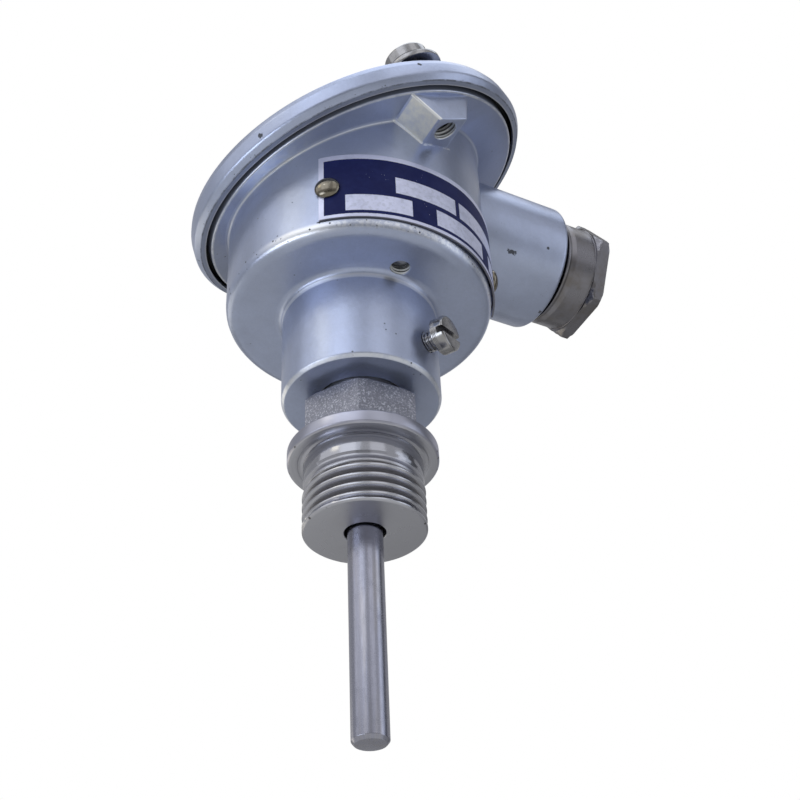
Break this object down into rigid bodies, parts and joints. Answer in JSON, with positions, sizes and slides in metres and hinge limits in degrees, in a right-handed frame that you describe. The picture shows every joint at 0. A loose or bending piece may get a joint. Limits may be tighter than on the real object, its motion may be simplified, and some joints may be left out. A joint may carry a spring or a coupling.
{
  "type": "resistance thermometer with connection head",
  "caption": "Screw-in resistance thermometer: short sheath tube and threaded process fitting under a cast connection head with slanted cover and side cable gland.",
  "frame": {"origin": "on the probe's axis, at the sealing face under the process fitting's collar", "axes": "+Z along the probe axis from the tip up to the head; +X towards the cable entry, which is also the high side of the slanted cover; +Y completes the right-handed frame"},
  "size_m": [0.0846, 0.0704, 0.1333],
  "materials": {
    "head_paint": "satin aluminium lacquer",
    "stainless": "turned stainless steel",
    "screw_steel": "plated steel",
    "gland_nickel": "dark nickel plate on brass",
    "terminal_brass": "bare brass",
    "black_rubber": "matt",
    "ceramic": "unglazed steatite, opaque",
    "plate_aluminium": "printed aluminium",
    "lead_wire": "bare nickel wire",
    "spring_steel": "spring steel"
  },
  "bodies": {
    "fitting": {"process_fitting": "stainless"},
    "head": {"head_housing": "head_paint", "name_plate": "plate_aluminium", "rivet_left": "screw_steel", "rivet_right": "screw_steel", "gland_disc": "gland_nickel", "gland_seal": "black_rubber"},
    "cover": {"cover": "head_paint", "cover_gasket": "black_rubber", "cover_washer_front": "screw_steel", "cover_washer_rear": "screw_steel"},
    "cover_screw_front": {"cover_screw_front": "screw_steel"},
    "cover_screw_rear": {"cover_screw_rear": "screw_steel"},
    "gland_screw": {"gland_screw": "gland_nickel"},
    "clamp_screw": {"clamp_screw": "screw_steel"},
    "insert": {"sheath_tube": "stainless", "sensing_element": "ceramic", "insulating_rod": "ceramic", "insert_plate": "stainless", "terminal_block": "ceramic", "terminal_bar_left": "terminal_brass", "terminal_bar_right": "terminal_brass", "lead_left": "lead_wire", "lead_right": "lead_wire", "insert_spring_front": "spring_steel", "insert_spring_rear": "spring_steel"},
    "insert_screw_front": {"insert_screw_front": "screw_steel"},
    "insert_screw_rear": {"insert_screw_rear": "screw_steel"},
    "terminal_screw_left_front": {"terminal_screw_left_front": "screw_steel"},
    "terminal_screw_left_rear": {"terminal_screw_left_rear": "screw_steel"},
    "terminal_screw_right_front": {"terminal_screw_right_front": "screw_steel"},
    "terminal_screw_right_rear": {"terminal_screw_right_rear": "screw_steel"}
  },
  "joints": [
    {"name": "head_swivel", "type": "hinge", "parent": "fitting", "child": "head", "pos_m": [0, 0, 0.02], "axis": [0, 0, 1], "range_deg": [-180, 180]},
    {"name": "cover_lift", "type": "slide", "parent": "head", "child": "cover", "axis": [-0.4258, 0, 0.9048], "range_m": [0, 0.03]},
    {"name": "cover_screw_front_turn", "type": "hinge", "parent": "cover", "child": "cover_screw_front", "pos_m": [-0.00202, -0.0282, 0.0716], "axis": [-0.4258, 0, 0.9048], "range_deg": [0, 720]},
    {"name": "cover_screw_rear_turn", "type": "hinge", "parent": "cover", "child": "cover_screw_rear", "pos_m": [-0.00202, 0.0282, 0.0716], "axis": [-0.4258, 0, 0.9048], "range_deg": [0, 720]},
    {"name": "gland_screw_turn", "type": "hinge", "parent": "head", "child": "gland_screw", "pos_m": [0.043, 0, 0.06185], "axis": [1, 0, 0], "range_deg": [0, 720]},
    {"name": "clamp_screw_turn", "type": "hinge", "parent": "head", "child": "clamp_screw", "pos_m": [0.0082, -0.0142, 0.0207], "axis": [0.5, -0.866, 0], "range_deg": [0, 720]},
    {"name": "insert_travel", "type": "slide", "parent": "head", "child": "insert", "axis": [0, 0, 1], "range_m": [0, 0.004], "stiffness_N_per_m": 1500, "springref_m": -0.004, "deforming": ["insert_spring_front", "insert_spring_rear"]},
    {"name": "insert_screw_front_turn", "type": "hinge", "parent": "head", "child": "insert_screw_front", "pos_m": [0, -0.0165, 0.0475], "axis": [0, 0, 1], "range_deg": [0, 720]},
    {"name": "insert_screw_rear_turn", "type": "hinge", "parent": "head", "child": "insert_screw_rear", "pos_m": [0, 0.0165, 0.0475], "axis": [0, 0, 1], "range_deg": [0, 720]},
    {"name": "terminal_screw_left_front_turn", "type": "hinge", "parent": "insert", "child": "terminal_screw_left_front", "pos_m": [-0.0062, -0.0045, 0.0509], "axis": [0, 0, 1], "range_deg": [0, 720]},
    {"name": "terminal_screw_left_rear_turn", "type": "hinge", "parent": "insert", "child": "terminal_screw_left_rear", "pos_m": [-0.0062, 0.0045, 0.0509], "axis": [0, 0, 1], "range_deg": [0, 720]},
    {"name": "terminal_screw_right_front_turn", "type": "hinge", "parent": "insert", "child": "terminal_screw_right_front", "pos_m": [0.0062, -0.0045, 0.0509], "axis": [0, 0, 1], "range_deg": [0, 720]},
    {"name": "terminal_screw_right_rear_turn", "type": "hinge", "parent": "insert", "child": "terminal_screw_right_rear", "pos_m": [0.0062, 0.0045, 0.0509], "axis": [0, 0, 1], "range_deg": [0, 720]}
  ]
}
